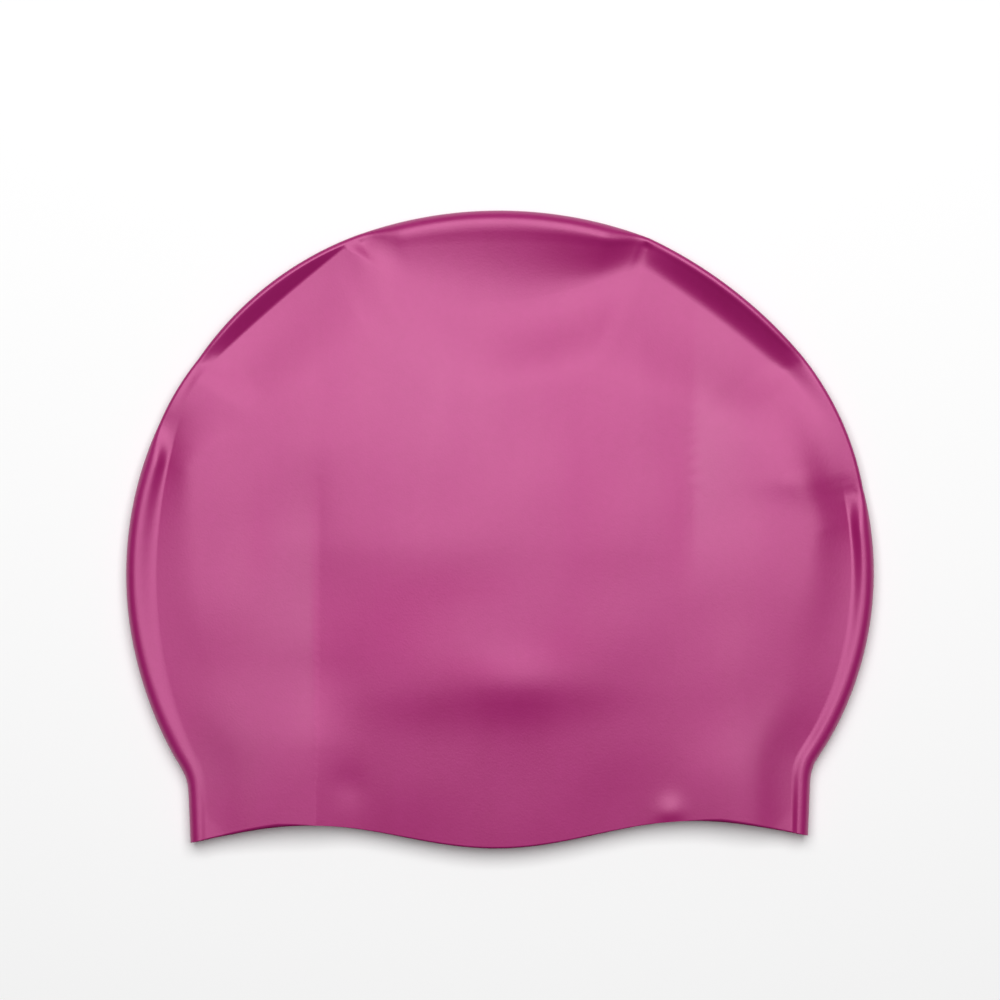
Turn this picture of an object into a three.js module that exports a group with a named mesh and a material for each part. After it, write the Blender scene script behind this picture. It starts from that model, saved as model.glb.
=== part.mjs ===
// A moulded silicone swim cap as it lies on a table: a thin rubber dome pressed flat into a
// pouch of two walls, joined by one round fold over the crown and down both sides of the neck,
// and open for the head along its wavy hem. It is one moulded piece, so it is one solid.
//
// Millimetres. X runs along the hem, Y from the hem to the crown and Z up from the table.
// The origin is the middle of the cap's box, on the table.

import * as THREE from "three";

// Plan of the flattened cap
const NECK_HALF_WIDTH = 92.8; // where the neck meets the hem
const NECK_FLARE = 0.8; // how much wider each side of the neck is where it meets the crown
const NECK_HEIGHT = 19.9; // from the middle line of the hem to the crown
const NECK_EASE = 4; // length over which the neck bends into the crown, each side of the corner
const CROWN_OVERHANG = 18.8; // how far the crown stands out past the neck on each side

// Hem: a wave that dips over the ear, a little higher at its right end
const HEM_WAVE = 3.8; // height of the wave above and below the middle line
const HEM_WAVE_LENGTH = 116; // from one high point to the next
const HEM_RISE = 1.1; // how much the right end stands above the middle line
const HEM_STRAIGHTENS = 60; // height above the hem at which its wave has faded from the mesh

// Section of the pouch
const WALL = 0.8; // rubber
const FOLD_INSIDE = 2.8; // inside radius of the round fold along the crown and neck
const BORDER = 26; // width at the hem of the border in which the grooves behind the fold lie
const BORDER_WIDENS = 0.19; // how much wider that border gets for each millimetre above the hem
const BORDER_GAP = 4.5; // between the two walls at the edge, where there is no groove
const PUFF = 5.6; // how much further apart the walls are under the top of the dome
const LIFT_SETTLES = 7; // width in which a fold that stands off the table comes down to it
const PINCH_LENGTH = 13; // run along the fold over which it opens up again beside a pinch
const RELIEF_STARTS = 12; // width behind a groove in which swells, marks and sag set in
const LEAST_FALL = 0.6; // least width of the slope from the fold down to a groove's floor

// Shape of the bulges: powers and shares from 0 to 1
const PUFF_ROUNDNESS = 1.25; // power: above 1 the dome is flatter towards its edge
const PUFF_LEAN = -0.1; // how much fuller the dome is at the crown than at its centre
const EARLY_START = 0.2; // share of a slope in which an early fall bends down from the fold
const CRISP_START = 0.12; // and the same for a straight one
const RISE_POWER = 1.5; // how soon an abrupt rise comes out of a groove: above 1, steep at first
const BLUNT = 0.6; // crispness, to either side of 0, from which the rise is smooth instead

// Stretches of the crown's fold, from the left end of the neck over the top to the right end.
// Between two of them the fold is pinched. The columns:
//   start     where the stretch begins, as a share of the crown's sweep
//   reach     plan radius at its start, and midReach at its middle, as shares of CROWN_RADIUS
//   pinch     inside radius of the fold at its start, and open at its middle, as shares of
//             FOLD_INSIDE
//   lift      how far the fold stands off the table at its middle, as a share of FOLD_INSIDE
//   crisp     how the wall falls into the groove: 0 evenly, 1 straight, -1 steep at first
// and with three values each, at its start, middle and end:
//   groove    depth of the groove behind the fold, as a share of the gap between the walls
//   floor     how far the groove's floor lies from the edge, as a share of the border
//   rise      width of the slope from the floor up to the panel, as a share of what is left of
//             the border
const STRETCHES = [
  { start: 0, reach: 0.983, midReach: 0.997, pinch: 0.85, open: 0.97, lift: 0, crisp: 0,
    groove: [0.1, 0.23, 0.48], floor: [0.3, 0.25, 0.11], rise: [0.5, 0.6, 0.25] },
  { start: 0.23, reach: 1.0, midReach: 1.0004, pinch: 0.15, open: 0.15, lift: 0.3, crisp: 0,
    groove: [0.35, 0.15, 0.2], floor: [0.1, 0.09, 0.08], rise: [0.3, 0.5, 0.5] },
  { start: 0.2777, reach: 0.9977, midReach: 1.0009, pinch: 0.15, open: 0.2, lift: 0.8, crisp: 1,
    groove: [0.35, 0.52, 0.05], floor: [0.075, 0.1, 0.03], rise: [0.5, 0.5, 0.5] },
  { start: 0.409, reach: 0.9964, midReach: 0.987, pinch: 0.2, open: 1.06, lift: 0.1, crisp: -0.6,
    groove: [0, 0.47, 0.6], floor: [0.22, 0.44, 0.18], rise: [0.9, 0.75, 0.35] },
  { start: 0.6005, reach: 0.9973, midReach: 0.9951, pinch: 0.15, open: 0.18, lift: 1.05, crisp: 1,
    groove: [0.55, 0.65, 0.5], floor: [0.12, 0.14, 0.12], rise: [0.5, 0.6, 0.5] },
  { start: 0.7255, reach: 1.0071, midReach: 1.0097, pinch: 0.15, open: 0.18, lift: 0.3, crisp: 0.4,
    groove: [0.45, 0.25, 0.3], floor: [0.12, 0.12, 0.12], rise: [0.6, 0.5, 0.4] },
  { start: 0.8192, reach: 1.0027, midReach: 0.9977, pinch: 0.2, open: 0.97, lift: 0, crisp: 0,
    groove: [0.42, 0.17, 0.3], floor: [0.13, 0.22, 0.24], rise: [0.45, 0.6, 0.4] },
];
const CROWN_END = { start: 1, reach: 0.9742, pinch: 0.85 };

// The groove behind the fold of the neck, in the same shares
const LEFT_NECK_GROOVE = { groove: 0.1, floor: 0.3, rise: 0.5 };
const RIGHT_NECK_GROOVE = { groove: 0.27, floor: 0.25, rise: 0.4 };

// Broad swells of the upper wall: centre, half-width across and half-heights above and below as
// shares of CROWN_RADIUS, from the crown's centre, and height as a share of PUFF.
const SWELLS = [
  { x: 0.04, y: -0.26, across: 0.2, above: 0.18, below: 0.09, height: 0.3 },
  { x: -0.2, y: -0.29, across: 0.21, above: 0.3, below: 0.08, height: 0.09 },
  { x: -0.11, y: 0.14, across: 0.39, above: 0.3, below: 0.14, height: 0.12 },
  { x: -0.71, y: -0.07, across: 0.2, above: 0.39, below: 0.32, height: 0.05 },
  { x: 0.77, y: 0.02, across: 0.15, above: 0.32, below: 0.23, height: 0.12 },
  { x: 0.82, y: 0.28, across: 0.12, above: 0.23, below: 0.08, height: 0.14 },
  { x: -0.55, y: -0.71, across: 0.2, above: 0.27, below: 0.36, height: 0.2 },
  { x: 0.6, y: -0.69, across: 0.18, above: 0.3, below: 0.36, height: 0.27 },
];

// Upright marks that packing left in the upper wall: sharp creases at x, from low to high, with
// their widths to the left and right, in the same shares. MARK_FADE is the length over which
// each end fades.
const MARKS = [
  { x: -0.48, low: -0.34, high: 0.25, left: 0.23, right: 0.11, height: -0.21 },
  { x: 0.52, low: 0.05, high: 0.55, left: 0.07, right: 0.18, height: -0.09 },
];
const MARK_FADE = 0.25;

// Between the marks the upper wall sags towards the hem: from where it starts under the crown's
// centre, between its two sides, with the width in which each side reaches the full depth.
const SAG = { top: 0.08, left: -0.49, right: 0.64, leftEase: 0.12, rightEase: 0.36, depth: 0.34 };
const SAG_START = 0.75; // share of its depth that is a straight ramp

// Mesh: steps across each wall, from the fold inwards, and along the outline
const FOLD_STEPS = 4;
const FALL_STEPS = 3;
const RISE_STEPS = 3;
const PANEL_STEPS = 9;
const LIFT_STEPS = 3; // of the lower wall, from the fold down to the table
const LOWER_PANEL_STEPS = 4;
const NECK_STEPS = 3;
const EASE_STEPS = 2;
const OUTLINE_STEP = 6; // length of one step along the crown
const RISE_SHARE = 0.45; // share of the border behind a groove's floor that the rise steps span
const PANEL_SPREAD = 0.82; // share of the hem's middle that the ribs of the panel end on

const SILICONE = new THREE.MeshStandardMaterial({ color: 0xbb4a86, roughness: 0.45, metalness: 0 });

const CROWN_RADIUS = NECK_HALF_WIDTH + NECK_FLARE + CROWN_OVERHANG;
const CROWN_ABOVE_HEM = NECK_HEIGHT + belowCentre(CROWN_END.reach);
const EDGE_HEIGHT = WALL + FOLD_INSIDE; // of the edge's middle line above the table

const lerp = THREE.MathUtils.lerp;
const clamp01 = (t) => THREE.MathUtils.clamp(t, 0, 1);
const smooth = (t) => clamp01(t) ** 2 * (3 - 2 * clamp01(t));

// How far below the crown's centre a circle of one plan reach meets the neck
function belowCentre(reach) {
  return Math.sqrt((CROWN_RADIUS * reach) ** 2 - (NECK_HALF_WIDTH + NECK_FLARE) ** 2);
}

// Angle below the crown's centre line at which a circle of one plan reach meets the neck
function neckAngle(reach) {
  return Math.atan2(belowCentre(reach), NECK_HALF_WIDTH + NECK_FLARE);
}

// The crown's sweep runs clockwise from the left end of the neck to the right end. The corner
// where it meets the neck is eased, so the sweep starts and ends NECK_EASE inside it.
const EASE_ANGLE = NECK_EASE / CROWN_RADIUS;
const SWEEP_START = Math.PI + neckAngle(STRETCHES[0].reach) - EASE_ANGLE;
const SWEEP_END = EASE_ANGLE - neckAngle(CROWN_END.reach);

// Point of the crown's outline in plan, for an angle and a plan reach
function onCrown(angle, reach) {
  const radius = CROWN_RADIUS * reach;
  return { x: radius * Math.cos(angle), y: CROWN_ABOVE_HEM + radius * Math.sin(angle) };
}

// Value at t of the parabola through a at 0, b at 1/2 and c at 1
function throughThree([a, b, c], t) {
  return a * (1 - t) * (1 - 2 * t) + 4 * b * t * (1 - t) + c * t * (2 * t - 1);
}

// One stretch of the crown as stations along the outline. Each holds its plan point, and the
// sizes of the fold and of the groove behind it there.
function stretchStations(stretch, next) {
  const from = lerp(SWEEP_START, SWEEP_END, stretch.start);
  const to = lerp(SWEEP_START, SWEEP_END, next.start);
  const length = CROWN_RADIUS * Math.abs(to - from);
  const steps = Math.max(2, Math.round(length / OUTLINE_STEP));
  return Array.from({ length: steps }, (_, i) => {
    const t = i / steps;
    const reach = throughThree([stretch.reach, stretch.midReach, next.reach], t);
    const nearest = t < 0.5 ? stretch.pinch : next.pinch;
    const opened = smooth((Math.min(t, 1 - t) * length) / Math.min(PINCH_LENGTH, length / 2));
    return {
      ...onCrown(lerp(from, to, t), reach),
      fold: WALL + FOLD_INSIDE * lerp(nearest, stretch.open, opened),
      lift: FOLD_INSIDE * stretch.lift * Math.sin(Math.PI * t),
      groove: throughThree(stretch.groove, t),
      floor: throughThree(stretch.floor, t),
      rise: throughThree(stretch.rise, t),
      crisp: stretch.crisp,
    };
  });
}

// A station of the neck, with a plain fold
function neckStation(point, pinch, groove) {
  return { ...point, ...groove, fold: WALL + FOLD_INSIDE * pinch, lift: 0, crisp: 0 };
}

// One side of the neck as stations, from the hem up to the crown: a straight run, then a
// curve that eases the corner between neck and crown.
function neckStations(side, end, groove) {
  const corner = {
    x: side * (NECK_HALF_WIDTH + NECK_FLARE),
    y: CROWN_ABOVE_HEM - belowCentre(end.reach),
  };
  const crown = onCrown(side < 0 ? SWEEP_START : SWEEP_END, end.reach);
  const top = corner.y - NECK_EASE;
  const points = Array.from({ length: NECK_STEPS + 1 }, (_, i) => {
    const y = (top * i) / NECK_STEPS;
    return { x: side * lerp(NECK_HALF_WIDTH, NECK_HALF_WIDTH + NECK_FLARE, y / corner.y), y };
  });
  const straightEnd = points[NECK_STEPS];
  for (let i = 1; i < EASE_STEPS; i++) {
    const t = i / EASE_STEPS;
    const bend = (axis) =>
      lerp(lerp(straightEnd[axis], corner[axis], t), lerp(corner[axis], crown[axis], t), t);
    points.push({ x: bend("x"), y: bend("y") });
  }
  return points.map((point) => neckStation(point, end.pinch, groove));
}

// Mean of one size of a station and its two neighbours
function evened(stations, i, key) {
  const before = stations[Math.max(i - 1, 0)];
  const after = stations[Math.min(i + 1, stations.length - 1)];
  return (before[key] + stations[i][key] + after[key]) / 3;
}

// The whole outline, from the left end of the hem over the crown to the right end. Each
// station gets its inward direction, square to the outline.
function outlineStations() {
  const bounds = [...STRETCHES, CROWN_END];
  const crown = STRETCHES.flatMap((stretch, i) => stretchStations(stretch, bounds[i + 1]));
  const crownEnd = onCrown(SWEEP_END, CROWN_END.reach);
  const stations = [
    ...neckStations(-1, STRETCHES[0], LEFT_NECK_GROOVE),
    ...crown,
    neckStation(crownEnd, CROWN_END.pinch, RIGHT_NECK_GROOVE),
    ...neckStations(1, CROWN_END, RIGHT_NECK_GROOVE).reverse(),
  ];
  const last = stations.length - 1;
  return stations.map((station, i) => {
    const before = stations[Math.max(i - 1, 0)];
    const after = stations[Math.min(i + 1, last)];
    const along = new THREE.Vector2(after.x - before.x, after.y - before.y).normalize();
    const atHem = i === 0 || i === last;
    const inward = atHem ? { x: -Math.sign(station.x), y: 0 } : { x: along.y, y: -along.x };
    const border = BORDER + BORDER_WIDENS * station.y;
    return {
      ...station,
      inward,
      border,
      groove: evened(stations, i, "groove"),
      floor: Math.max(evened(stations, i, "floor") * border, station.fold + LEAST_FALL),
      rise: evened(stations, i, "rise"),
      crisp: evened(stations, i, "crisp"),
      share: i / last,
    };
  });
}

// Height of the hem above its middle line at x
function hemHeight(x) {
  const wave = Math.cos((2 * Math.PI * x) / HEM_WAVE_LENGTH);
  return (HEM_RISE * x) / NECK_HALF_WIDTH - HEM_WAVE * wave;
}

// The straight bottom of the plan is bent to the hem's wave, which fades out above it
function bentToHem(x, y) {
  const left = 1 - clamp01(y / HEM_STRAIGHTENS);
  return { x, y: y + hemHeight(x) * left ** 2 };
}

// How much further apart the walls are over a plan point than at the edge: a flattened dome
function dome(across, up) {
  return PUFF * (1 + PUFF_LEAN * up) * clamp01(1 - across ** 2 - up ** 2) ** PUFF_ROUNDNESS;
}

// Swells, marks and sag of the upper wall over a plan point
function relief(across, up) {
  const swells = SWELLS.reduce((sum, swell) => {
    const along = (up - swell.y) / (up > swell.y ? swell.above : swell.below);
    return sum + swell.height * Math.exp(-(((across - swell.x) / swell.across) ** 2) - along ** 2);
  }, 0);
  const marks = MARKS.reduce((sum, mark) => {
    const away = Math.abs(across - mark.x) / (across < mark.x ? mark.left : mark.right);
    const fade = smooth((up - mark.low) / MARK_FADE + 0.5) * smooth((mark.high - up) / MARK_FADE + 0.5);
    return sum + mark.height * Math.exp(-away) * fade;
  }, 0);
  const intoLeft = clamp01((across - SAG.left) / SAG.leftEase);
  const intoRight = clamp01((SAG.right - across) / SAG.rightEase);
  const sides = intoLeft * (2 - intoLeft) * intoRight * (2 - intoRight);
  const down = Math.max(SAG.top - up, 0) / (SAG.top + CROWN_ABOVE_HEM / CROWN_RADIUS);
  return PUFF * (swells + marks - SAG.depth * sides * lerp(down ** 2, down, SAG_START));
}

// Share of the way from a groove's floor up to the panel at a share t of the slope's width:
// abrupt at first where the groove is even, and smooth where it isn't
function riseAt(t, crisp) {
  const abrupt = 1 - (1 - t) ** RISE_POWER;
  return lerp(abrupt, smooth(t), clamp01(Math.abs(crisp) / BLUNT));
}

// Share of the way from the fold's crest down to the groove at a share t of the slope's width
function fallAt(t, crisp) {
  const early = t * (2 - t) * smooth(t / EARLY_START);
  const straight = (t ** 2 / (t + CRISP_START)) * (1 + CRISP_START);
  return lerp(lerp(smooth(t), early, Math.max(-crisp, 0)), straight, Math.max(crisp, 0));
}

// Heights of both walls' outsides at a distance in from the edge. In the fold they are the
// two halves of a circle. Beyond it the lower wall comes down to the table, and the upper one
// falls into the groove, then rises to the panel.
function wallHeights(station, distance, x, y) {
  const { fold, floor, border } = station;
  const raised = Math.max(EDGE_HEIGHT - fold, 0) + station.lift;
  const half = Math.sqrt(fold ** 2 - (fold - Math.min(distance, fold)) ** 2);
  const lower = fold + raised * (1 - smooth(distance / LIFT_SETTLES)) - half;
  const [across, up] = [x / CROWN_RADIUS, (y - CROWN_ABOVE_HEM) / CROWN_RADIUS];
  const bulge = dome(across, up) + relief(across, up) * smooth((distance - floor) / RELIEF_STARTS);
  const climb = riseAt(clamp01((distance - floor) / ((border - floor) * station.rise)), station.crisp);
  const panel = 2 * WALL + (BORDER_GAP + bulge) * (1 - station.groove * (1 - climb));
  const crest = raised + 2 * fold;
  const fall = fallAt(clamp01((distance - fold) / (floor - fold)), station.crisp);
  return { upper: distance <= fold ? raised + fold + half : lerp(crest, panel, fall), lower };
}

// Distances from one to another in a number of equal steps, without the first
function distancesBetween(from, to, steps) {
  return Array.from({ length: steps }, (_, i) => lerp(from, to, (i + 1) / steps));
}

// One station's plan points with their distances from the edge: round the fold and over the
// border at the distances given, then straight across the panel to the hem.
function planRib(station, inBorder, panelSteps) {
  const { fold, inward, border } = station;
  const turns = Array.from({ length: FOLD_STEPS + 1 }, (_, i) => (Math.PI / 2) * (i / FOLD_STEPS));
  const inFold = turns.map((turn) => fold * (1 - Math.cos(turn)));
  const rib = [...inFold, ...inBorder].map((distance) => ({
    x: station.x + inward.x * distance,
    y: station.y + inward.y * distance,
    distance,
  }));
  const last = rib[rib.length - 1];
  const hemHalf = (NECK_HALF_WIDTH - BORDER) * PANEL_SPREAD;
  const hemX = lerp(-hemHalf, hemHalf, station.share);
  for (let i = 1; i <= panelSteps; i++) {
    const t = i / panelSteps;
    rib.push({ x: lerp(last.x, hemX, t), y: lerp(last.y, 0, t), distance: border });
  }
  return rib;
}

// Points in space of one wall's outside along a station's rib
function wallRib(station, inBorder, panelSteps, wall) {
  return planRib(station, inBorder, panelSteps).map((p) => {
    const bent = bentToHem(p.x, p.y);
    return new THREE.Vector3(bent.x, bent.y, wallHeights(station, p.distance, p.x, p.y)[wall]);
  });
}

// The outside as a grid of points: for each station a rib that runs from the hem in the upper
// wall out to the fold, round it, and back to the hem in the lower wall.
function outsideGrid() {
  return outlineStations().map((station) => {
    const { fold, floor, border } = station;
    const riseEnd = lerp(floor, border, RISE_SHARE);
    const upperBorder = [
      ...distancesBetween(fold, floor, FALL_STEPS),
      ...distancesBetween(floor, riseEnd, RISE_STEPS),
      border,
    ];
    const lowerBorder = [...distancesBetween(fold, fold + LIFT_SETTLES, LIFT_STEPS), border];
    const upper = wallRib(station, upperBorder, PANEL_STEPS, "upper");
    const lower = wallRib(station, lowerBorder, LOWER_PANEL_STEPS, "lower");
    return [...upper.reverse(), ...lower.slice(1)];
  });
}

// Triangles of a grid of points, numbered row by row, with their faces to the outside. Each
// cell is cut along its shorter diagonal.
function gridFaces(points, rows, columns) {
  const faces = [];
  for (let row = 0; row < rows - 1; row++) {
    for (let column = 0; column < columns - 1; column++) {
      const a = row * columns + column;
      const b = a + columns;
      const across = points[a].distanceTo(points[b + 1]);
      const other = points[b].distanceTo(points[a + 1]);
      faces.push(...(across < other ? [a, b, b + 1, a, b + 1, a + 1] : [a, b, a + 1, b, b + 1, a + 1]));
    }
  }
  return faces;
}

// Numbers of the points round the border of such a grid, in order
function gridBorder(rows, columns) {
  const border = [];
  for (let column = 0; column < columns - 1; column++) border.push(column);
  for (let row = 0; row < rows - 1; row++) border.push(row * columns + columns - 1);
  for (let column = columns - 1; column > 0; column--) border.push((rows - 1) * columns + column);
  for (let row = rows - 1; row > 0; row--) border.push(row * columns);
  return border;
}

// A sheet given as a grid of outside points, made into a closed wall of even thickness: the
// inside is the outside moved in along its normals, and a strip closes the wall along the hem.
function wallFromGrid(grid, thickness) {
  const [rows, columns] = [grid.length, grid[0].length];
  const outside = grid.flat();
  const faces = gridFaces(outside, rows, columns);
  const sheet = new THREE.BufferGeometry().setFromPoints(outside).setIndex(faces);
  sheet.computeVertexNormals();
  const normals = sheet.getAttribute("normal");
  const inside = outside.map((point, i) =>
    point.clone().addScaledVector(new THREE.Vector3().fromBufferAttribute(normals, i), -thickness),
  );
  const behind = outside.length;
  const closed = [...faces];
  for (let i = 0; i < faces.length; i += 3) {
    closed.push(faces[i] + behind, faces[i + 2] + behind, faces[i + 1] + behind);
  }
  const border = gridBorder(rows, columns);
  border.forEach((a, i) => {
    const b = border[(i + 1) % border.length];
    closed.push(a, b, b + behind, a, b + behind, a + behind);
  });
  return new THREE.BufferGeometry().setFromPoints([...outside, ...inside]).setIndex(closed);
}

// The cap's wall, moved so that its box is centred on the origin and stands on the table
function capWall() {
  const wall = wallFromGrid(outsideGrid(), WALL);
  wall.computeBoundingBox();
  const centre = wall.boundingBox.getCenter(new THREE.Vector3());
  return wall.translate(-centre.x, -centre.y, -wall.boundingBox.min.z);
}

const cap = new THREE.Mesh(capWall(), SILICONE);
cap.name = "cap";

const swimCap = new THREE.Group();
swimCap.name = "swim_cap";
swimCap.add(cap);

export default swimCap;
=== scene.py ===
# %% [markdown]
# A silicone swim cap, lying flat on a table and seen from straight above.
#
# The real cap is one piece of rubber, moulded as a dome and pressed flat. What the eye reads is
# therefore not parts but one surface: a round fold along the crown, places where that fold is
# pinched, grooves behind it, and soft marks left by its packing. This lesson works that surface
# out with numpy as one grid, gives it a wall, and finishes it as satin, pearly rubber.

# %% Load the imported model
from collections import namedtuple

import bpy
import numpy as np
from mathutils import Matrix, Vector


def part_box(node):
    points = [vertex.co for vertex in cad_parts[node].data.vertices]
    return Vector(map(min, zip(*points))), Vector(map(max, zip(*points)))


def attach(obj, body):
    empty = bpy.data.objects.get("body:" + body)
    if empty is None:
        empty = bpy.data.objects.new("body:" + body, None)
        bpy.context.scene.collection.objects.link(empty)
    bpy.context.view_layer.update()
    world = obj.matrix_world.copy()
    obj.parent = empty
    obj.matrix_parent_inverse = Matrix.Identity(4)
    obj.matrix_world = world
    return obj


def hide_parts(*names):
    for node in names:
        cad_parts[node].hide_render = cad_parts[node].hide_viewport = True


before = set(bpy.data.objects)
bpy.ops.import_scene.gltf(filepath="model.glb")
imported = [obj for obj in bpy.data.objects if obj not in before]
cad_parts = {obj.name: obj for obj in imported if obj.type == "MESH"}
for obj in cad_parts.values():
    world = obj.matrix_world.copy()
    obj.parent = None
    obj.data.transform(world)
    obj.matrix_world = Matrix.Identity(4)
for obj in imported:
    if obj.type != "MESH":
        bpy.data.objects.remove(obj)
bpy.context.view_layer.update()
CAP_LOW, CAP_HIGH = [np.array(corner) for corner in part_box("cap")]
print("cap in the frame, mm:", np.round((CAP_HIGH - CAP_LOW) * 1000, 1))

# %% [markdown]
# The camera comes first, so that every later step can be looked at. The cap is seen from
# straight above, from far enough away that it hardly shows perspective. A picture of 1000
# pixels spans 300 mm, so one pixel is 0.3 mm on the cap.

# %% Camera straight above
MM = 0.001
PIXEL = 0.3 * MM
VIEW_WIDTH = 1000 * PIXEL
VIEW_CENTRE_Y = 29.25 * PIXEL
CAMERA_HEIGHT = 1.6
SENSOR = 36.0

camera_data = bpy.data.cameras.new("camera")
camera_data.sensor_width = SENSOR
camera_data.lens = SENSOR * CAMERA_HEIGHT / VIEW_WIDTH
camera = bpy.data.objects.new("camera", camera_data)
camera.location = (0.0, VIEW_CENTRE_Y, CAMERA_HEIGHT + 0.5 * CAP_HIGH[2])
bpy.context.collection.objects.link(camera)
bpy.context.scene.camera = camera
print("lens, mm:", round(camera_data.lens, 1))

# %% [markdown]
# Three small helpers are used throughout. A smooth step eases a value from 0 to 1, and a blend
# goes straight from one value to another. A parabola through three values lets a table row say
# what a size is at the start, middle and end of a stretch, as if measured there by hand.

# %% Helpers for whole arrays


def smooth(t):
    """Smooth step: 3 t^2 - 2 t^3, with t held between 0 and 1."""
    t = np.clip(t, 0.0, 1.0)
    return t * t * (3.0 - 2.0 * t)


def mix(a, b, t):
    """Straight blend from a at t = 0 to b at t = 1."""
    return a + (b - a) * t


def through(three, t):
    """Parabola through the three values at t = 0, 1/2 and 1."""
    a, b, c = three
    return a * (1 - t) * (1 - 2 * t) + 4 * b * t * (1 - t) + c * t * (2 * t - 1)


# %% [markdown]
# The plan of the cap has the same few sizes as the CAD model: a neck, a crown that overhangs
# it, and a hem with a wave. All lengths here are in millimetres until the mesh is made.

# %% Sizes of the plan and the section
NECK_HALF = 92.8
NECK_FLARE = 0.8
NECK_HEIGHT = 19.9
NECK_EASE = 4.0
CROWN_RADIUS = NECK_HALF + NECK_FLARE + 18.8
HEM_WAVE = 3.8
HEM_WAVE_LENGTH = 116.0
HEM_RISE = 1.1
HEM_STRAIGHTENS = 60.0

WALL = 0.8
FOLD_INSIDE = 2.8
EDGE_HEIGHT = 3.5
BORDER = 26.0
BORDER_WIDENS = 0.19
BORDER_GAP = 4.9
PUFF = 5.2
PUFF_ROUNDNESS = 1.25
PUFF_LEAN = -0.1
LIFT_SETTLES = 7.0
LIFT_FULLNESS = 0.6
PINCH_LENGTH = 13.0
NICK_WIDTH = 1.7
NICK_LENGTH = 12.0
LEAST_FALL = 0.6
LEAST_HOLLOW = 0.1
print("crown radius, mm:", round(CROWN_RADIUS, 1))

# %% [markdown]
# A round fold in rubber this thick can't turn a tight circle without buckling, so the crown is
# a row of stretches with a pinch between each two. Each row below is one stretch, clockwise
# from the left end of the neck. Three numbers in brackets are values at its start, middle and
# end. The columns, most of them shares of the sizes above, as in the CAD model:
#
# - start: where the stretch starts, as a share of the crown's sweep
# - reach and mid_reach: distance from the crown's centre at its start and middle
# - pinch and open: radius inside the fold at its start and middle
# - lift: how much the fold is lifted off the table in the middle
# - groove: depth behind the fold, as a share of the gap between the walls
# - floor: where the groove is deepest, as a share of the border's width
# - rise: how much of the rest of the border it takes to come up again
# - crisp: shape of the fall into the groove, from -1 to 1, as told further down
# - nick: depth in millimetres of a short crease at the stretch's start

# %% Table of the crown's stretches
Stretch = namedtuple("Stretch", "start reach mid_reach pinch open lift groove floor rise crisp nick")
STRETCHES = [
    Stretch(0.0, 0.983, 0.997, 0.85, 0.92, 0.0,
            (0.06, 0.17, 0.38), (0.19, 0.23, 0.11), (0.6, 0.4, 0.12), 0.0, 0.0),
    Stretch(0.23, 1.0, 1.0004, 0.1, 0.1, 0.3,
            (0.35, 0.15, 0.2), (0.1, 0.09, 0.08), (0.3, 0.5, 0.5), 0.0, 0.0),
    Stretch(0.2777, 0.9977, 1.0009, 0.1, 0.18, 0.8,
            (0.35, 0.52, 0.05), (0.075, 0.1, 0.01), (0.5, 0.5, 0.5), 1.0, 0.2),
    Stretch(0.409, 0.9964, 0.987, 0.2, 1.06, 0.1,
            (0.0, 0.47, 0.65), (0.22, 0.44, 0.16), (0.9, 0.8, 0.65), -0.6, 0.3),
    Stretch(0.6005, 0.9973, 0.9951, 0.1, 0.16, 1.05,
            (0.68, 0.76, 0.74), (0.14, 0.17, 0.15), (0.7, 0.65, 0.5), -0.5, 0.8),
    Stretch(0.7255, 1.0071, 1.0097, 0.1, 0.15, 0.3,
            (0.7, 0.2, 0.4), (0.13, 0.12, 0.12), (0.6, 0.5, 0.4), 0.4, 0.2),
    Stretch(0.8192, 1.0027, 0.9977, 0.2, 0.9, 0.0,
            (0.55, 0.14, 0.2), (0.13, 0.18, 0.19), (0.15, 0.5, 0.5), 0.0, 0.2),
]
CROWN_END = dict(start=1.0, reach=0.9742, pinch=0.85)
NECK_GROOVES = {-1: dict(groove=0.05, floor=0.2, rise=0.7), 1: dict(groove=0.15, floor=0.2, rise=0.6)}

OUTLINE_STEP = 1.4
NECK_STEPS = 14
HEM_STATION = 0.2
EASE_STEPS = 6

# %% [markdown]
# Next comes the outline itself, as stations about 1.4 mm apart from the left end of the hem up
# the neck, over the crown and down to the right end. A station knows its place in plan, the radius
# of the fold there and the groove behind it. Arrays hold all stations of a stretch at once.

# %% Stations along the outline
BLUNT = 0.6
BLUR_REACHES = dict(floor=3, groove=3, crisp=3, rounded=3, rise=7)
FOLD_BLUR = 1
LIFT_BLUR = 2
DIRECTION_BLURS = (5, 3)


def below_centre(reach):
    """How far under the crown's centre a circle of this reach meets the neck: by Pythagoras."""
    return np.sqrt((CROWN_RADIUS * reach) ** 2 - (NECK_HALF + NECK_FLARE) ** 2)


def neck_angle(reach):
    """Angle under the crown's centre line at which that happens."""
    return np.arctan2(below_centre(reach), NECK_HALF + NECK_FLARE)


CROWN_Y = NECK_HEIGHT + below_centre(CROWN_END["reach"])
SWEEP_START = np.pi + neck_angle(STRETCHES[0].reach) - NECK_EASE / CROWN_RADIUS
SWEEP_END = NECK_EASE / CROWN_RADIUS - neck_angle(CROWN_END["reach"])


def on_crown(angle, reach):
    """Plan point at an angle and a share of the crown's radius, from the crown's centre."""
    radius = CROWN_RADIUS * reach
    return radius * np.cos(angle), CROWN_Y + radius * np.sin(angle)


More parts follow.
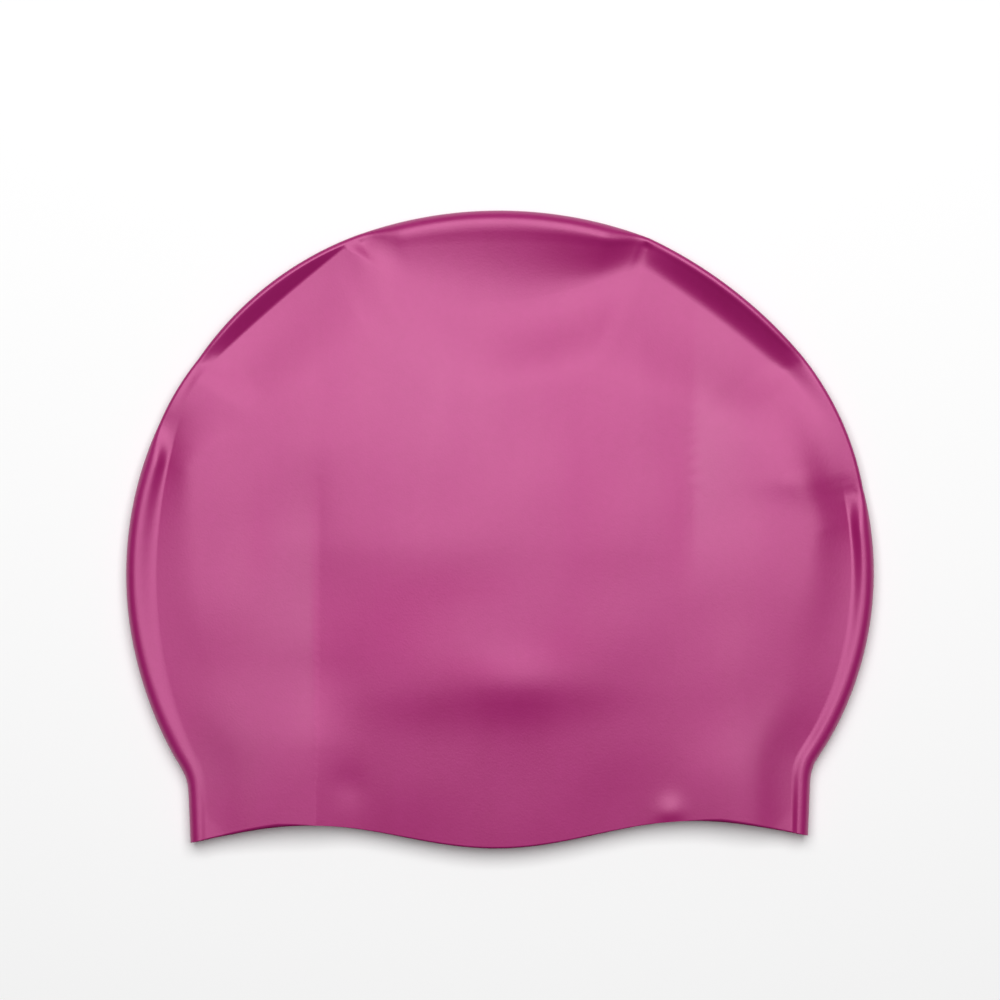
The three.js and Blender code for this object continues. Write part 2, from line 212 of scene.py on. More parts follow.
def stretch_stations(stretch, next_start, next_reach, next_pinch):
    """Stations of one stretch: t runs from 0 to 1, the reach is a parabola, and the fold opens
    with a smooth step away from both pinches."""
    first = mix(SWEEP_START, SWEEP_END, stretch.start)
    last = mix(SWEEP_START, SWEEP_END, next_start)
    length = CROWN_RADIUS * abs(last - first)
    t = np.arange(round(length / OUTLINE_STEP)) / round(length / OUTLINE_STEP)
    reach = through((stretch.reach, stretch.mid_reach, next_reach), t)
    x, y = on_crown(mix(first, last, t), reach)
    opened = smooth(np.minimum(t, 1 - t) * length / min(PINCH_LENGTH, length / 2))
    pinch = np.where(t < 0.5, stretch.pinch, next_pinch)
    return dict(
        x=x, y=y,
        fold=WALL + FOLD_INSIDE * mix(pinch, stretch.open, opened),
        lift=FOLD_INSIDE * stretch.lift * np.sin(np.pi * t) ** LIFT_FULLNESS,
        groove=through(stretch.groove, t),
        floor=through(stretch.floor, t),
        rise=through(stretch.rise, t),
        crisp=np.full_like(t, stretch.crisp),
        nick=stretch.nick * np.exp(-((t * length / NICK_WIDTH) ** 2)),
    )


def neck_stations(side, reach, pinch):
    """Stations of one side of the neck, from the hem up: a straight line, then a curve with its
    corner point where neck and crown would meet (a quadratic Bezier)."""
    crown = np.array(on_crown(SWEEP_START if side < 0 else SWEEP_END, reach))
    corner = np.array([side * (NECK_HALF + NECK_FLARE), CROWN_Y - below_centre(reach)])
    rise = np.linspace(0.0, corner[1] - NECK_EASE, NECK_STEPS + 1)
    rise = np.insert(rise, 1, HEM_STATION)
    straight = np.stack([side * (NECK_HALF + NECK_FLARE * rise / corner[1]), rise], axis=1)
    t = np.arange(1, EASE_STEPS)[:, None] / EASE_STEPS
    curve = mix(mix(straight[-1], corner, t), mix(corner, crown, t), t)
    points = np.concatenate([straight, curve])
    same = np.ones(len(points))
    groove = NECK_GROOVES[side]
    return dict(
        x=points[:, 0], y=points[:, 1],
        fold=same * (WALL + FOLD_INSIDE * pinch), lift=same * 0.0,
        groove=same * groove["groove"], floor=same * groove["floor"],
        rise=same * groove["rise"], crisp=same * 0.0, nick=same * 0.0,
    )


def blur(values, reach):
    """Running mean over 2 reach + 1 stations, with the ends repeated."""
    padded = np.pad(values, reach, mode="edge")
    return np.convolve(padded, np.ones(2 * reach + 1) / (2 * reach + 1), mode="valid")


def outline():
    """All stations in order, and each one's inward direction: the outline's own direction
    turned by a right angle, eased over a few stations so that neighbours never cross. A groove
    is rounded to its full share where crisp is BLUNT or more away from 0."""
    ends = [(s.start, s.reach, s.pinch) for s in STRETCHES[1:]]
    ends.append((CROWN_END["start"], CROWN_END["reach"], CROWN_END["pinch"]))
    parts = [neck_stations(-1, STRETCHES[0].reach, STRETCHES[0].pinch)]
    parts += [stretch_stations(s, *end) for s, end in zip(STRETCHES, ends)]
    right = neck_stations(1, CROWN_END["reach"], CROWN_END["pinch"])
    parts.append({key: values[::-1] for key, values in right.items()})
    line = {key: np.concatenate([part[key] for part in parts]) for key in parts[0]}
    line["rounded"] = np.clip(np.abs(line["crisp"]) / BLUNT, 0, 1)
    for key, reach in BLUR_REACHES.items():
        line[key] = blur(line[key], reach)
    line["border"] = BORDER + BORDER_WIDENS * line["y"]
    line["floor"] = np.maximum(line["floor"] * line["border"], line["fold"] + LEAST_FALL)
    line["fold"] = blur(line["fold"], FOLD_BLUR)
    line["lift"] = blur(line["lift"], LIFT_BLUR)
    along_x, along_y = np.gradient(line["x"]), np.gradient(line["y"])
    for reach in DIRECTION_BLURS:
        along_x, along_y = blur(along_x, reach), blur(along_y, reach)
    length = np.hypot(along_x, along_y)
    line["in_x"] = along_y / length
    line["in_y"] = -along_x / length
    line["in_x"][[0, -1]] = 1.0, -1.0
    line["in_y"][[0, -1]] = 0.0
    return line


LINE = outline()
print("stations:", len(LINE["x"]))

# %% [markdown]
# The upper wall isn't an even dome. Packing has left two long upright fold marks, the middle
# between them sags towards the hem, and the rubber has broad swells. Swells and marks are rows
# of tables, placed from the crown's centre in millimetres, and one formula sums all of it.

# %% Relief of the upper wall
Swell = namedtuple("Swell", "x y across above below height")
SWELLS = [
    Swell(4.0, -29.0, 24.0, 22.0, 10.0, 1.0),
    Swell(-22.0, -33.0, 24.0, 34.0, 9.0, 0.5),
    Swell(30.0, -31.0, 18.0, 30.0, 9.0, 0.35),
    Swell(5.0, -31.0, 13.0, 9.0, 8.0, 0.9),
    Swell(-12.0, 16.0, 44.0, 34.0, 16.0, 0.7),
    Swell(-80.0, -8.0, 22.0, 44.0, 36.0, 0.3),
    Swell(86.0, 2.0, 17.0, 36.0, 26.0, 0.7),
    Swell(68.0, -78.0, 20.0, 34.0, 40.0, 1.5),
    Swell(-62.0, -80.0, 22.0, 30.0, 40.0, 1.1),
    Swell(92.0, 31.0, 14.0, 26.0, 6.0, 0.8),
    Swell(-10.0, 56.0, 34.0, 22.0, 22.0, 0.3),
    Swell(51.0, -73.5, 4.0, 5.0, 4.0, 0.7),
    Swell(-45.0, -63.0, 5.0, 6.0, 6.0, -0.3),
]
Mark = namedtuple("Mark", "x low high fade left right height")
FOLD_MARKS = [
    Mark(-54.0, -38.0, 28.0, 28.0, 26.0, 12.0, -1.2),
    Mark(58.0, 6.0, 62.0, 28.0, 8.0, 20.0, -0.5),
    Mark(42.0, 20.0, 74.0, 28.0, 1.8, 3.0, 0.1),
]
SAG_DEPTH = 1.9
SAG_LEFT, SAG_RIGHT = -55.0, 72.0
SAG_LEFT_SHOULDER, SAG_RIGHT_SHOULDER = 14.0, 40.0
SAG_TOP = 9.0
SAG_START = 0.75
SAG_MOST = 1.1
RELIEF_STARTS = 12.0
Ripple = namedtuple("Ripple", "height wave turn phase")
RIPPLES = [
    Ripple(0.05, 47.0, 0.35, 0.4),
    Ripple(0.04, 33.0, 1.25, 2.1),
    Ripple(0.03, 26.0, 2.2, 4.0),
]


def relief(x, y):
    """Extra height over a plan point, y measured from the crown's centre.

    Swells are bells, exp(-(dx/a)^2 - (dy/b)^2), with b different above and below. A fold mark
    is a sharp furrow, or a ridge if its height is above 0, exp(-|dx|/width), that fades at both
    ends. The sag is a ramp down towards the hem, less steep at first, with a shoulder on either
    side. Ripples are plane sine waves in different directions."""
    total = np.zeros_like(x)
    for s in SWELLS:
        along = (y - s.y) / np.where(y > s.y, s.above, s.below)
        total += s.height * np.exp(-(((x - s.x) / s.across) ** 2) - along**2)
    for m in FOLD_MARKS:
        away = np.where(x < m.x, (m.x - x) / m.left, (x - m.x) / m.right)
        fade = smooth((y - m.low) / m.fade + 0.5) * smooth((m.high - y) / m.fade + 0.5)
        total += m.height * np.exp(-away) * fade
    into_left = np.clip((x - SAG_LEFT) / SAG_LEFT_SHOULDER, 0, 1)
    into_right = np.clip((SAG_RIGHT - x) / SAG_RIGHT_SHOULDER, 0, 1)
    shoulders = into_left * (2 - into_left) * into_right * (2 - into_right)
    down = np.clip((SAG_TOP - y) / (SAG_TOP + CROWN_Y), 0, SAG_MOST)
    total -= SAG_DEPTH * shoulders * mix(down**2, down, SAG_START)
    for r in RIPPLES:
        along = x * np.cos(r.turn) + y * np.sin(r.turn)
        total += r.height * np.sin(along * 2 * np.pi / r.wave + r.phase)
    return total


def dome(x, y):
    """How much further apart the walls are than at the border: a flattened dome,
    PUFF (1 - r^2)^power with r the distance from the crown's centre in crown radii. It is a
    little fuller towards the hem than towards the crown."""
    across, up = x / CROWN_RADIUS, (y - CROWN_Y) / CROWN_RADIUS
    return PUFF * (1 + PUFF_LEAN * up) * np.clip(1 - across**2 - up**2, 0, 1) ** PUFF_ROUNDNESS


print("height added at the crown's centre, mm:", relief(np.zeros(1), np.zeros(1)).round(2))

# %% [markdown]
# The section across the fold is where the light does most of its work. In the fold both walls
# are halves of one circle. Behind it the upper wall falls into a groove and rises again to the
# panel. A crisp groove is a V, as where the rubber has buckled, and a soft one is a hollow.

# %% Heights of both walls across the border
EARLY_START = 0.2
CRISP_START = 0.12
RISE_POWER = 1.5


def wall_heights(line, distance, x, y):
    """Heights of the outside of the upper and lower wall. Arrays are stations by steps.

    The fold's middle line runs at EDGE_HEIGHT, and settles to the fold's own radius further in.
    In the fold the walls are half a circle over and under it. Behind it the upper wall goes
    from the crest to the panel: crisp is 0 for a smooth step, 1 for a straight slope and -1
    for a fall that is steep at first. The groove rises again at once, as
    1 - (1 - t)^RISE_POWER, or with a smooth step where it is rounded. A nick is a short crease
    square to the fold. The panel is two walls and a gap high, less a share of the gap that
    fades after the groove."""
    keys = ("fold", "lift", "groove", "floor", "rise", "crisp", "rounded", "nick", "border")
    fold, lift, groove, floor, rise, crisp, rounded, nick, border = (line[key][:, None] for key in keys)
    raised = np.maximum(EDGE_HEIGHT - fold, 0) + lift
    middle = fold + raised * (1 - smooth(distance / LIFT_SETTLES))
    half = np.sqrt(fold**2 - (fold - np.minimum(distance, fold)) ** 2)
    lower = middle - half
    crest = raised + 2 * fold
    sharp, soft = np.maximum(crisp, 0), np.maximum(-crisp, 0)
    climb = np.clip((distance - floor) / ((border - floor) * rise), 0, 1)
    climb = mix(1 - (1 - climb) ** RISE_POWER, smooth(climb), rounded)
    panel = BORDER_GAP + dome(x, y) + relief(x, y - CROWN_Y) * smooth((distance - floor) / RELIEF_STARTS)
    panel = 2 * WALL + panel * (1 - groove * (1 - climb))
    fall = np.clip((distance - fold) / (floor - fold), 0, 1)
    early = fall * (2 - fall) * smooth(fall / EARLY_START)
    straight = fall**2 / (fall + CRISP_START) * (1 + CRISP_START)
    fall = mix(mix(smooth(fall), early, soft), straight, sharp)
    crease = smooth((distance - fold) / NICK_WIDTH) * smooth((NICK_LENGTH + fold - distance) / NICK_LENGTH)
    behind = np.maximum(mix(crest, panel, fall) - nick * crease, lower + 2 * WALL + LEAST_HOLLOW)
    upper = np.where(distance <= fold, raised + fold + half, behind)
    return upper, lower


# %% [markdown]
# Now the grid. Each station sends a rib inwards: round the fold, across the border, and then
# straight over the panel to the hem. Ribs of the upper wall have more steps than those of the
# lower one, which lies flat on the table.

# %% Ribs of the two walls
FOLD_STEPS = 9
FALL_STEPS = 12
RISE_STEPS = 10
BORDER_STEPS = 7
PANEL_STEPS = 42
LOWER_BORDER_STEPS = 10
LOWER_PANEL_STEPS = 12
FALL_CROWDING = 1.5
RISE_SHARE = 0.45
RISE_CROWDING = 1.6
LOWER_CROWDING = 2.0
PANEL_SPREAD = 0.82
HEM_ROW = 0.004


def steps(start, stop, count, crowding=1.0):
    """Distances from start to stop, for all stations at once, without the first one: a share
    (i / count)^crowding of the way. Above 1, they are closer together near the start."""
    t = (np.arange(1, count + 1) / count) ** crowding
    return start[:, None] + (stop - start)[:, None] * t


def hem_height(x):
    """Height of the hem over its middle line: a cosine wave on a slope."""
    return HEM_RISE * x / NECK_HALF - HEM_WAVE * np.cos(2 * np.pi * x / HEM_WAVE_LENGTH)


def plan_ribs(line, distances, panel_steps):
    """Plan points and distances of every rib: inwards by each distance, then on a straight
    line to the rib's own place on the hem. Last, the plan is bent to the hem's wave."""
    x = line["x"][:, None] + line["in_x"][:, None] * distances
    y = line["y"][:, None] + line["in_y"][:, None] * distances
    hem_half = (NECK_HALF - BORDER) * PANEL_SPREAD
    hem_x = np.linspace(-hem_half, hem_half, len(x))[:, None]
    t = np.append(np.arange(1, panel_steps) / (panel_steps - 1) * (1 - HEM_ROW), 1.0)[None, :]
    across_x = mix(x[:, -1:], hem_x, t)
    across_y = mix(y[:, -1:], 0.0, t)
    x = np.concatenate([x, across_x], axis=1)
    y = np.concatenate([y, across_y], axis=1)
    distances = np.concatenate([distances, np.repeat(distances[:, -1:], panel_steps, axis=1)], axis=1)
    left = 1 - np.clip(y / HEM_STRAIGHTENS, 0, 1)
    return x, y, y + hem_height(x) * left**2, distances


def wall_points(line, distances, panel_steps, upper):
    """Points of one wall's outside, stations by steps by three."""
    x, y, bent_y, distances = plan_ribs(line, distances, panel_steps)
    heights = wall_heights(line, distances, x, y)
    return np.stack([x, bent_y, heights[0] if upper else heights[1]], axis=-1)


def outside_points(line):
    """The outside as one grid: each row runs from the hem in the upper wall out to the fold,
    round it, and back to the hem in the lower wall."""
    turn = np.linspace(0, np.pi / 2, FOLD_STEPS + 1)
    in_fold = line["fold"][:, None] * (1 - np.cos(turn))
    floor = line["floor"]
    top = mix(floor, line["border"], RISE_SHARE)
    fall = steps(line["fold"], floor, FALL_STEPS, FALL_CROWDING)
    rise = steps(floor, top, RISE_STEPS, RISE_CROWDING)
    rest = steps(top, line["border"], BORDER_STEPS)
    upper = wall_points(line, np.concatenate([in_fold, fall, rise, rest], axis=1), PANEL_STEPS, True)
    lower_border = steps(line["fold"], line["border"], LOWER_BORDER_STEPS, LOWER_CROWDING)
    lower_distances = np.concatenate([in_fold, lower_border], axis=1)
    lower = wall_points(line, lower_distances, LOWER_PANEL_STEPS, False)
    return np.concatenate([upper[:, ::-1], lower[:, 1:]], axis=1)


OUTSIDE = outside_points(LINE)
print("grid of the outside:", OUTSIDE.shape[:2])

# %% [markdown]
# The wall is given by hand instead of with Solidify, because the hem's cut edge should be
# slightly rounded and the inside needs its own material. The inside is the outside moved in
# along its normals, and a few rows across the hem close the wall with a rounded lip.

# %% Wall, lip and triangles
LIP_STEPS = 4
LIP_BULGE = 0.16


def grid_normals(points):
    """Outward unit normals: a cell's is the cross product of its diagonals, and a vertex has
    the sum of the cells round it."""
    cells = np.cross(points[1:, 1:] - points[:-1, :-1], points[:-1, 1:] - points[1:, :-1])
    total = np.zeros_like(points)
    for rows in (slice(None, -1), slice(1, None)):
        for columns in (slice(None, -1), slice(1, None)):
            total[rows, columns] += cells
    return total / np.linalg.norm(total, axis=-1, keepdims=True)


def grid_triangles(points):
    """Two triangles a cell, cut along its shorter diagonal."""
    rows, columns = points.shape[:2]
    number = np.arange(rows * columns).reshape(rows, columns)
    a, b = number[:-1, :-1], number[1:, :-1]
    c, d = number[1:, 1:], number[:-1, 1:]
    flat = points.reshape(-1, 3)
    shorter = np.linalg.norm(flat[a] - flat[c], axis=-1) < np.linalg.norm(flat[b] - flat[d], axis=-1)
    first = np.where(shorter[..., None], np.stack([a, b, c], -1), np.stack([a, b, d], -1))
    second = np.where(shorter[..., None], np.stack([a, c, d], -1), np.stack([b, c, d], -1))
    return np.concatenate([first.reshape(-1, 3), second.reshape(-1, 3)])


def border_loop(rows, columns):
    """Numbers of the points round a grid, in order."""
    number = np.arange(rows * columns).reshape(rows, columns)
    return np.concatenate([number[0, :-1], number[:-1, -1], number[-1, :0:-1], number[:0:-1, 0]])


def closed_wall(outside):
    """Vertices and triangles of the closed wall, with a number for each triangle: 0 outside,
    1 lip, 2 inside."""
    normals = grid_normals(outside)
    inside = outside - WALL * normals
    flat_out, flat_in = outside.reshape(-1, 3), inside.reshape(-1, 3)
    count = len(flat_out)
    loop = border_loop(*outside.shape[:2])
    along = np.roll(flat_out[loop], -1, axis=0) - np.roll(flat_out[loop], 1, axis=0)
    away = np.cross(along, normals.reshape(-1, 3)[loop])
    away /= np.linalg.norm(away, axis=1, keepdims=True)
    share = (np.arange(1, LIP_STEPS) / LIP_STEPS)[:, None, None]
    lip = mix(flat_out[loop], flat_in[loop], share) + LIP_BULGE * np.sqrt(np.sin(np.pi * share)) * away
    vertices = np.concatenate([flat_out, flat_in, lip.reshape(-1, 3)])
    rings = [loop] + [2 * count + i * len(loop) + np.arange(len(loop)) for i in range(LIP_STEPS - 1)]
    rings.append(loop + count)
    bands = []
    for near, far in zip(rings[:-1], rings[1:]):
        bands.append(np.stack([near, np.roll(near, -1), np.roll(far, -1)], -1))
        bands.append(np.stack([near, np.roll(far, -1), far], -1))
    outer = grid_triangles(outside)
    inner = outer[:, ::-1] + count
    lip_faces = np.concatenate(bands)
    part = np.repeat([0, 1, 2], [len(outer), len(lip_faces), len(inner)])
    return vertices, np.concatenate([outer, lip_faces, inner]), part


def mesh_from_arrays(name, vertices, triangles):
    """Mesh from whole arrays with foreach_set, smooth shaded."""
    mesh = bpy.data.meshes.new(name)
    mesh.vertices.add(len(vertices))
    mesh.vertices.foreach_set("co", vertices.astype(np.float32).ravel())
    mesh.loops.add(triangles.size)
    mesh.loops.foreach_set("vertex_index", triangles.astype(np.int32).ravel())
    mesh.polygons.add(len(triangles))
    mesh.polygons.foreach_set("loop_start", np.arange(0, triangles.size, 3, dtype=np.int32))
    mesh.polygons.foreach_set("use_smooth", np.ones(len(triangles), dtype=bool))
    mesh.update()
    mesh.validate()
    return mesh


vertices, triangles, part = closed_wall(OUTSIDE)
low, high = vertices.min(axis=0), vertices.max(axis=0)
middle = np.array([(low[0] + high[0]) / 2, (low[1] + high[1]) / 2, low[2]])
frame_middle = np.array([(CAP_LOW[0] + CAP_HIGH[0]) / 2, (CAP_LOW[1] + CAP_HIGH[1]) / 2, CAP_LOW[2]])
place = (vertices - middle) * MM + frame_middle
cap_mesh = mesh_from_arrays("cap_silicone", place, triangles)
cap_mesh.polygons.foreach_set("material_index", np.where(part == 2, 1, 0).astype(np.int32))
cap = bpy.data.objects.new("cap_silicone", cap_mesh)
bpy.context.collection.objects.link(cap)
print("cap, mm:", np.round(high - low, 1), "triangles:", len(triangles))

# %% [markdown]
# The gloss isn't even. Each row below adds to or takes from the share of clear gloss in a patch, so that
# bands beside the fold marks and parts of the middle come out lighter or darker. Rows are placed from the
# crown's centre in millimetres, and the sum rides on the vertices.

# %% Pearl on the vertices
Patch = namedtuple("Patch", "x y left right above below share")
PEARL_PATCHES = [
    Patch(-57.0, -10.0, 22.0, 1.0, 34.0, 28.0, 0.2),
    Patch(-54.0, -18.0, 1.5, 22.0, 22.0, 26.0, -0.16),
    Patch(-27.0, -14.0, 18.0, 20.0, 16.0, 20.0, -0.2),
    Patch(-8.0, -2.0, 22.0, 16.0, 6.0, 6.0, -0.1),
    Patch(18.0, -20.0, 12.0, 14.0, 8.0, 8.0, -0.14),
    Patch(-6.0, -27.0, 14.0, 12.0, 4.0, 8.0, -0.15),
    Patch(60.0, 34.0, 1.5, 15.0, 36.0, 26.0, 0.22),
    Patch(54.0, 14.0, 8.0, 2.0, 40.0, 16.0, -0.1),
    Patch(29.0, 20.0, 14.0, 11.0, 48.0, 42.0, -0.09),
    Patch(-20.0, 60.0, 20.0, 20.0, 24.0, 26.0, 0.12),
    Patch(-72.0, 9.0, 5.0, 4.0, 16.0, 12.0, -0.12),
    Patch(-84.0, -52.0, 8.0, 14.0, 12.0, 14.0, 0.3),
    Patch(82.0, -54.0, 12.0, 8.0, 16.0, 14.0, 0.25),
    Patch(58.0, -68.0, 14.0, 14.0, 6.0, 8.0, 0.2),
]


def pearl_share(x, y):
    """Sum of the patches, y measured from the crown's centre. A patch is a bell with its own
    width to each side, share * exp(-(dx/a)^2 - (dy/b)^2), so that one side can be sharp."""
    total = np.zeros_like(x)
    for p in PEARL_PATCHES:
        across = (x - p.x) / np.where(x < p.x, p.left, p.right)
        along = (y - p.y) / np.where(y < p.y, p.below, p.above)
        total += p.share * np.exp(-(across**2) - along**2)
    return total


pearl_attribute = cap_mesh.attributes.new("pearl", "FLOAT", "POINT")
pearl_values = pearl_share(vertices[:, 0], vertices[:, 1] - CROWN_Y)
pearl_attribute.data.foreach_set("value", pearl_values.astype(np.float32))
print("pearl share, least and most:", round(pearl_values.min(), 2), round(pearl_values.max(), 2))

# %% [markdown]
# The finish. This rubber is dyed through and carries a pearl pigment, which is why flat places
# look pale pink under the lamp while slopes turn to deep magenta. A metallic share in a
# Principled shader does just that: it tints the reflection with the dye, and a thin clear
# gloss adds the whiter part. The moulded grain is a fine bump, the same group on both sides.

# %% Node groups: moulded grain and pearl
STREAK_SQUEEZE = (5.0, 1.0, 1.0)


def new_group(name, inputs, outputs):
    """Empty shader group with named float or colour inputs and outputs."""
    group = bpy.data.node_groups.new(name, "ShaderNodeTree")
    for label, kind, value in inputs:
        socket = group.interface.new_socket(name=label, in_out="INPUT", socket_type=kind)
        socket.default_value = value
    for label, kind in outputs:
        group.interface.new_socket(name=label, in_out="OUTPUT", socket_type=kind)
    return group, group.nodes.new("NodeGroupInput"), group.nodes.new("NodeGroupOutput")


def feed(tree, value, socket):
    """Give a socket a plain number, or link an output to it."""
    if isinstance(value, (int, float)):
        socket.default_value = value
    else:
        tree.links.new(value, socket)


def noise(tree, source, scale, detail, roughness=0.5):
    """Noise texture on a vector output, with a scale that is a number or an output."""
    node = tree.nodes.new("ShaderNodeTexNoise")
    node.inputs["Detail"].default_value = detail
    node.inputs["Roughness"].default_value = roughness
    tree.links.new(source, node.inputs["Vector"])
    feed(tree, scale, node.inputs["Scale"])
    return node.outputs["Fac"]


def math_node(tree, operation, a, b):
    """Math node on two outputs or numbers."""
    node = tree.nodes.new("ShaderNodeMath")
    node.operation = operation
    feed(tree, a, node.inputs[0])
    feed(tree, b, node.inputs[1])
    return node.outputs["Value"]


def moulded_grain():
    """Height of a fine orange-peel grain, from two noises on Object coordinates."""
    group, given, result = new_group(
        "moulded_grain",
        [("Grain per metre", "NodeSocketFloat", 1600.0), ("Waves per metre", "NodeSocketFloat", 90.0),
         ("Wave share", "NodeSocketFloat", 0.6)],
        [("Height", "NodeSocketFloat")],
    )
    coords = group.nodes.new("ShaderNodeTexCoord").outputs["Object"]
    fine = noise(group, coords, given.outputs["Grain per metre"], detail=3.0)
    broad = noise(group, coords, given.outputs["Waves per metre"], detail=2.0)
    waves = math_node(group, "MULTIPLY", broad, given.outputs["Wave share"])
    group.links.new(math_node(group, "ADD", fine, waves), result.inputs["Height"])
    return group


def pearl_drift():
    """Slow change of the pearl over the cap: streaks up it, squeezed across, and a fine cloud."""
    group, given, result = new_group(
        "pearl_drift",
        [("Streaks per metre", "NodeSocketFloat", 14.0), ("Clouds per metre", "NodeSocketFloat", 420.0)],
        [("Drift", "NodeSocketFloat"), ("Cloud", "NodeSocketFloat")],
    )
    coords = group.nodes.new("ShaderNodeTexCoord").outputs["Object"]
    mapping = group.nodes.new("ShaderNodeMapping")
    mapping.vector_type = "POINT"
    mapping.inputs["Scale"].default_value = STREAK_SQUEEZE
    group.links.new(coords, mapping.inputs["Vector"])
    streaks = noise(group, mapping.outputs["Vector"], given.outputs["Streaks per metre"], detail=4.0)
    cloud = noise(group, coords, given.outputs["Clouds per metre"], detail=4.0, roughness=0.6)
    group.links.new(streaks, result.inputs["Drift"])
    group.links.new(cloud, result.inputs["Cloud"])
    return group


GRAIN = moulded_grain()
PEARL = pearl_drift()
print("node groups:", GRAIN.name, PEARL.name)

# %% [markdown]
# One function makes both sides of the rubber, because they share the dye. The outside is satin,
# with the pearl's gloss on it. The inside, seen only through the mouth, is duller and has none.

# %% Materials
SILICONE_IOR = 1.41
SPECULAR_LEVEL = 1.0
SPECULAR_TINT = (1.0, 0.8, 1.0, 1.0)
COAT_ROUGHNESS = 0.35
ROUGHNESS_DRIFT = 0.12


def silicone(name, deep, pale, metallic, rough, grain_height, coat):
    """Dyed rubber: the colour drifts between deep and pale with the mean of two noises, the
    roughness drifts round `rough`, and the moulded grain is a bump. Where there is a coat, the
    pearl on the vertices is added to it."""
    material = bpy.data.materials.new(name)
    material.use_nodes = True
    tree = material.node_tree
    shader = tree.nodes["Principled BSDF"]
    pearl = tree.nodes.new("ShaderNodeGroup")
    pearl.node_tree = PEARL
    blend = tree.nodes.new("ShaderNodeMix")
    blend.data_type = "RGBA"
    blend.inputs["A"].default_value = (*deep, 1.0)
    blend.inputs["B"].default_value = (*pale, 1.0)
    both = math_node(tree, "ADD", pearl.outputs["Drift"], pearl.outputs["Cloud"])
    tree.links.new(math_node(tree, "MULTIPLY", both, 0.5), blend.inputs["Factor"])
    tree.links.new(blend.outputs["Result"], shader.inputs["Base Color"])
    drift = math_node(tree, "MULTIPLY", pearl.outputs["Drift"], ROUGHNESS_DRIFT)
    tree.links.new(math_node(tree, "ADD", drift, rough - ROUGHNESS_DRIFT / 2), shader.inputs["Roughness"])
    grain = tree.nodes.new("ShaderNodeGroup")
    grain.node_tree = GRAIN
    bump = tree.nodes.new("ShaderNodeBump")
    bump.inputs["Strength"].default_value = 1.0
    bump.inputs["Distance"].default_value = grain_height
    tree.links.new(grain.outputs["Height"], bump.inputs["Height"])
    tree.links.new(bump.outputs["Normal"], shader.inputs["Normal"])
    shader.inputs["Metallic"].default_value = metallic
    shader.inputs["IOR"].default_value = SILICONE_IOR
    shader.inputs["Specular IOR Level"].default_value = SPECULAR_LEVEL
    shader.inputs["Specular Tint"].default_value = SPECULAR_TINT
    if coat > 0:
        patches = tree.nodes.new("ShaderNodeAttribute")
        patches.attribute_name = "pearl"
        tree.links.new(math_node(tree, "ADD", patches.outputs["Fac"], coat), shader.inputs["Coat Weight"])
    shader.inputs["Coat Roughness"].default_value = COAT_ROUGHNESS
    return material


outside_look = silicone(
    "silicone_outside", deep=(0.34, 0.004, 0.12), pale=(0.41, 0.01, 0.17),
    metallic=0.18, rough=0.43, grain_height=0.03 * MM, coat=0.25,
)
inside_look = silicone(
    "silicone_inside", deep=(0.3, 0.02, 0.11), pale=(0.36, 0.04, 0.15),
    metallic=0.1, rough=0.6, grain_height=0.05 * MM, coat=0.0,
)
cap_mesh.materials.append(outside_look)
cap_mesh.materials.append(inside_look)
print("materials:", [material.name for material in cap_mesh.materials])

# %% [markdown]
# The stage is a plain pale floor. A large soft lamp hangs above the crown's side, so that flat
# rubber mirrors part of it, slopes towards the crown more, and slopes towards the hem less.
# That is what draws the grooves and the sag.

# %% Floor, lamp and surroundings
FLOOR_SIZE = 4.0
FLOOR_WHITE = 0.98
FLOOR_ROUGHNESS = 0.9
FLOOR_SPECULAR = 0.1
LAMP_PLACE = (0.0, 0.43, 1.3)
LAMP_SIZE = (1.6, 1.25)
LAMP_WATTS = 24.0
STUDIO_GLOW = 0.08


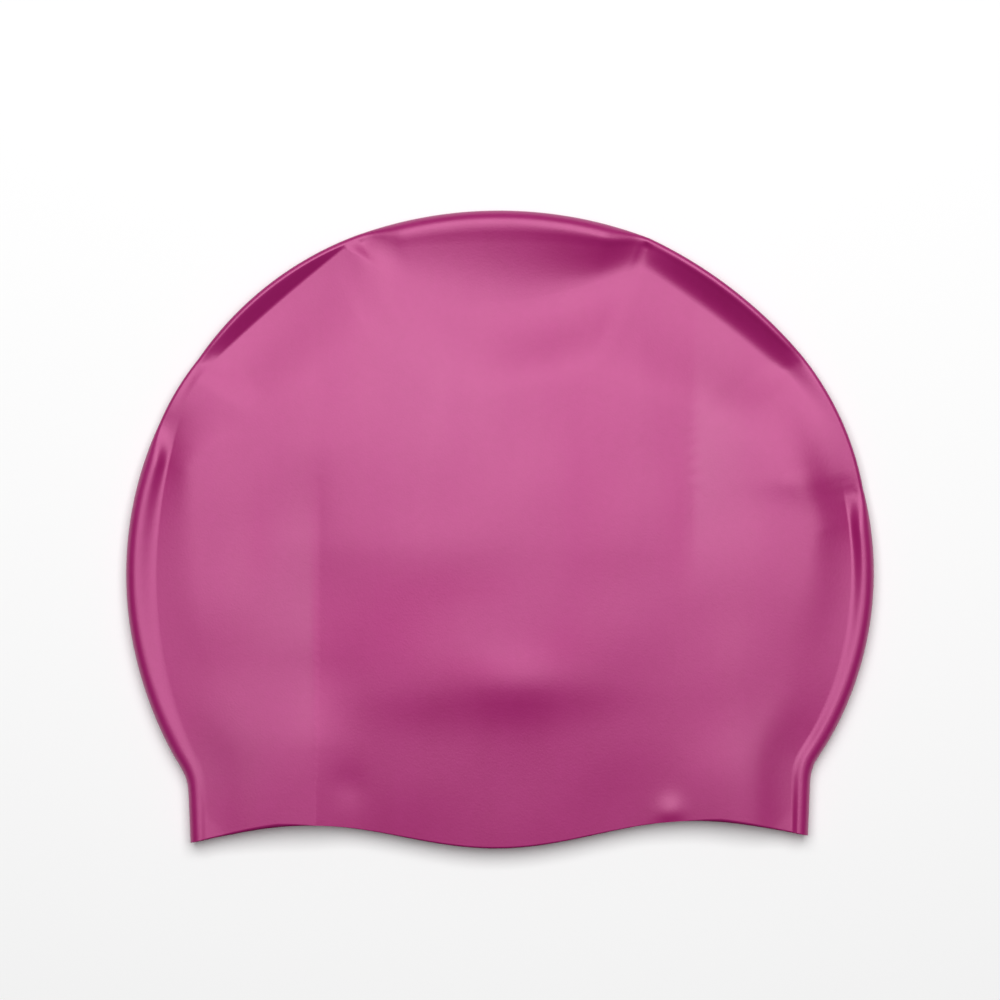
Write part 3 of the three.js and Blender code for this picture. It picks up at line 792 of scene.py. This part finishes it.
def plain_floor(size):
    """Square floor of four corners at the cap's lowest height."""
    half = size / 2
    corners = [(-half, -half, CAP_LOW[2]), (half, -half, CAP_LOW[2])]
    corners += [(half, half, CAP_LOW[2]), (-half, half, CAP_LOW[2])]
    mesh = bpy.data.meshes.new("floor")
    mesh.from_pydata(corners, [], [(0, 1, 2, 3)])
    floor = bpy.data.objects.new("floor", mesh)
    bpy.context.collection.objects.link(floor)
    material = bpy.data.materials.new("floor_paint")
    material.use_nodes = True
    shader = material.node_tree.nodes["Principled BSDF"]
    shader.inputs["Base Color"].default_value = (FLOOR_WHITE, FLOOR_WHITE, FLOOR_WHITE, 1.0)
    shader.inputs["Roughness"].default_value = FLOOR_ROUGHNESS
    shader.inputs["Specular IOR Level"].default_value = FLOOR_SPECULAR
    mesh.materials.append(material)
    return floor


def soft_lamp(name, place, size, watts):
    """Rectangular area lamp that points at the origin: tilted by the angle between its place
    and the vertical, and turned to the side that it stands on."""
    data = bpy.data.lights.new(name, "AREA")
    data.shape = "RECTANGLE"
    data.size, data.size_y = size
    data.energy = watts
    lamp = bpy.data.objects.new(name, data)
    lamp.location = place
    tilt = np.arctan2(np.hypot(place[0], place[1]), place[2])
    turn = np.arctan2(place[0], -place[1])
    lamp.rotation_euler = (tilt, 0.0, turn)
    bpy.context.collection.objects.link(lamp)
    return lamp


floor = plain_floor(FLOOR_SIZE)
lamp = soft_lamp("lamp_over_crown", LAMP_PLACE, LAMP_SIZE, LAMP_WATTS)

world = bpy.data.worlds.new("studio")
world.use_nodes = True
background = world.node_tree.nodes["Background"]
background.inputs["Color"].default_value = (1.0, 1.0, 1.0, 1.0)
background.inputs["Strength"].default_value = STUDIO_GLOW
bpy.context.scene.world = world
bpy.context.scene.view_settings.view_transform = "Standard"
print("stage:", floor.name, "and", lamp.name)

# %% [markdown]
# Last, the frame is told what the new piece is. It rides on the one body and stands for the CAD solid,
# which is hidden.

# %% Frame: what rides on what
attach(cap, "root")
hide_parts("cap")
